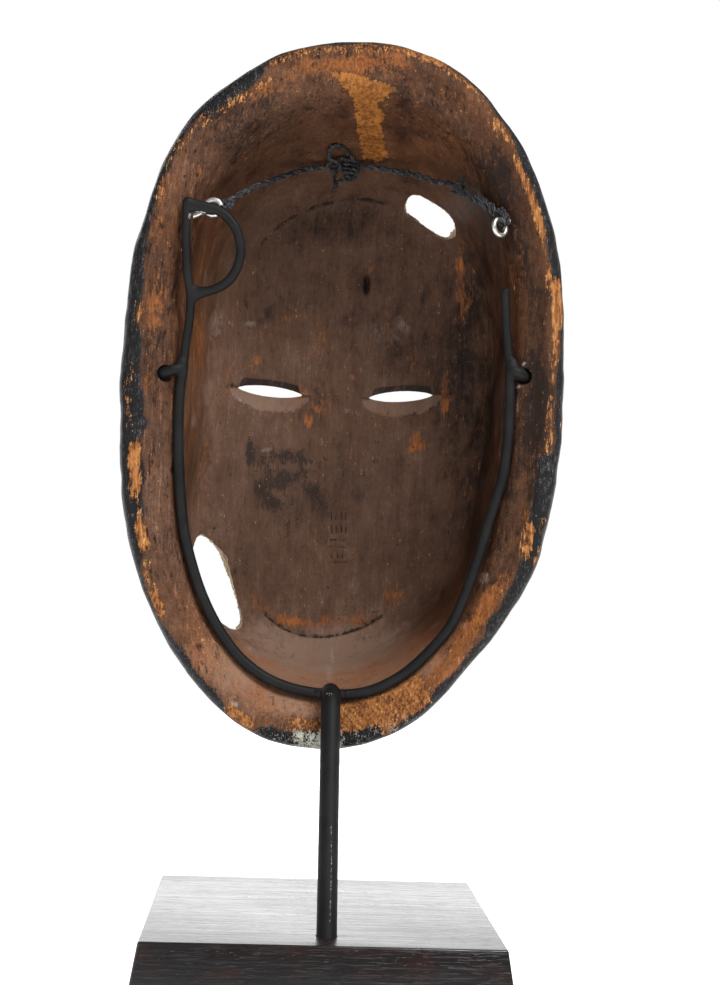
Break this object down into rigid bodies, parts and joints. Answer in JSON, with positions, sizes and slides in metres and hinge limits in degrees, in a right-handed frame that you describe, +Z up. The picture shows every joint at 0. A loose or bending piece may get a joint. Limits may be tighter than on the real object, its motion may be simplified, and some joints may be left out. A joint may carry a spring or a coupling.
{
  "type": "carved face mask on stand",
  "caption": "Carved wooden face mask, hollow behind, with a tie cord, held by a steel cradle and leaning stem on a flared hardwood base.",
  "frame": {"origin": "centre of the base's underside", "axes": "+Z up, the mask's face towards -Y, its hollow back and the stem's foot towards +Y"},
  "size_m": [0.2251, 0.2207, 0.4711],
  "materials": {
    "mask_wood": "old carved wood, dark brown and worn inside, black paint and white clay outside, satin",
    "base_wood": "dark stained open-pored hardwood, satin",
    "black_steel": "satin black",
    "zinc": "bright zinc",
    "black_cord": "black twisted fibre, dry"
  },
  "bodies": {
    "root": {"base": "base_wood", "stem": "black_steel", "cradle_rod": "black_steel", "arm_left": "black_steel", "loop_rod": "black_steel", "arm_right": "black_steel", "mask": "mask_wood", "screw_eye_left": "zinc", "screw_eye_right": "zinc", "tie_cord": "black_cord"}
  },
  "joints": []
}
